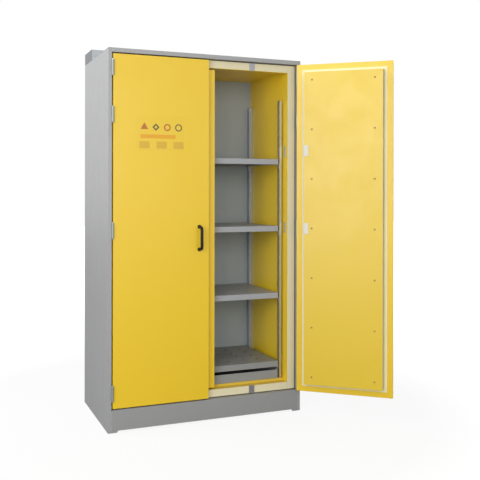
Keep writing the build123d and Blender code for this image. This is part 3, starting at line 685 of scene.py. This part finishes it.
def buildFloor():
    bpy.ops.mesh.primitive_plane_add(size=40.0, location=(0, 0, cadLow.z))
    floor = bpy.context.object
    floor.name = "floor"
    material = bpy.data.materials.new("floorPaper")
    material.use_nodes = True
    tree = material.node_tree
    principled = tree.nodes["Principled BSDF"]
    principled.inputs["Base Color"].default_value = studio["floorColor"]
    principled.inputs["Roughness"].default_value = 0.9
    glow = addNode(tree, "ShaderNodeEmission")
    glow.inputs["Color"].default_value = (1, 1, 1, 1)
    glow.inputs["Strength"].default_value = studio["glowStrength"]
    path = addNode(tree, "ShaderNodeLightPath")
    place = addNode(tree, "ShaderNodeTexCoord")
    radius = addNode(tree, "ShaderNodeVectorMath", operation="LENGTH")
    tree.links.new(place.outputs["Object"], radius.inputs[0])
    share = addRange(tree, radius.outputs["Value"], studio["nearRing"], studio["farRing"], studio["glowNear"], 1.0)
    gloss = addNode(tree, "ShaderNodeMath", operation="MULTIPLY")
    tree.links.new(path.outputs["Is Glossy Ray"], gloss.inputs[0])
    gloss.inputs[1].default_value = studio["glossShare"]
    seen = addNode(tree, "ShaderNodeMath", operation="MAXIMUM")
    tree.links.new(path.outputs["Is Camera Ray"], seen.inputs[0])
    tree.links.new(gloss.outputs[0], seen.inputs[1])
    amount = addNode(tree, "ShaderNodeMath", operation="MULTIPLY")
    tree.links.new(seen.outputs[0], amount.inputs[0])
    tree.links.new(share, amount.inputs[1])
    mix = addNode(tree, "ShaderNodeMixShader")
    tree.links.new(amount.outputs[0], mix.inputs[0])
    tree.links.new(principled.outputs[0], mix.inputs[1])
    tree.links.new(glow.outputs[0], mix.inputs[2])
    tree.links.new(mix.outputs[0], tree.nodes["Material Output"].inputs["Surface"])
    floor.data.materials.append(material)


def buildWorld():
    world = bpy.data.worlds.new("studio")
    bpy.context.scene.world = world
    world.use_nodes = True
    tree = world.node_tree
    sky = tree.nodes["Background"]
    sky.inputs["Color"].default_value = (1, 1, 1, 1)
    sky.inputs["Strength"].default_value = studio["worldLight"]
    shown = addNode(tree, "ShaderNodeBackground")
    shown.inputs["Color"].default_value = (1, 1, 1, 1)
    shown.inputs["Strength"].default_value = 1.0
    path = addNode(tree, "ShaderNodeLightPath")
    seen = addNode(tree, "ShaderNodeMath", operation="MAXIMUM")
    tree.links.new(path.outputs["Is Camera Ray"], seen.inputs[0])
    tree.links.new(path.outputs["Is Transmission Ray"], seen.inputs[1])
    gloss = addNode(tree, "ShaderNodeMath", operation="MULTIPLY")
    tree.links.new(path.outputs["Is Glossy Ray"], gloss.inputs[0])
    gloss.inputs[1].default_value = studio["skyGlossShare"]
    shine = addNode(tree, "ShaderNodeMath", operation="MAXIMUM")
    tree.links.new(seen.outputs[0], shine.inputs[0])
    tree.links.new(gloss.outputs[0], shine.inputs[1])
    mix = addNode(tree, "ShaderNodeMixShader")
    tree.links.new(shine.outputs[0], mix.inputs[0])
    tree.links.new(sky.outputs[0], mix.inputs[1])
    tree.links.new(shown.outputs[0], mix.inputs[2])
    tree.links.new(mix.outputs[0], tree.nodes["World Output"].inputs["Surface"])


def aim(thing, place, target):
    thing.location = place
    thing.rotation_euler = (Vector(target) - Vector(place)).to_track_quat("-Z", "Y").to_euler()


def buildLamps():
    for name, place, target, width, height, power in studio["lamps"]:
        light = bpy.data.lights.new(name, "AREA")
        light.shape = "RECTANGLE"
        light.size = width
        light.size_y = height
        light.energy = power
        lamp = bpy.data.objects.new(name, light)
        bpy.context.scene.collection.objects.link(lamp)
        aim(lamp, place, target)


viewpoint = {"place": (-1.3828, -3.8779, 1.2355), "turn": 21.38, "tilt": 0.09,
             "lens": 54.21, "shiftX": 0.0569, "shiftY": -0.1064}


def buildCamera():
    data = bpy.data.cameras.new("camera")
    data.sensor_width = 36.0
    data.lens = viewpoint["lens"]
    data.shift_x = viewpoint["shiftX"]
    data.shift_y = viewpoint["shiftY"]
    camera = bpy.data.objects.new("camera", data)
    bpy.context.scene.collection.objects.link(camera)
    camera.location = viewpoint["place"]
    level = Matrix.Rotation(math.radians(-viewpoint["turn"]), 4, "Z") @ Matrix.Rotation(math.radians(90), 4, "X")
    roll = Matrix.Rotation(math.radians(viewpoint["tilt"]), 4, "Z")
    camera.rotation_euler = (level @ roll).to_euler()
    bpy.context.scene.camera = camera


buildFloor()
buildWorld()
buildLamps()
buildCamera()
bpy.context.scene.view_settings.view_transform = "Standard"
print("floor, lamps and camera made")
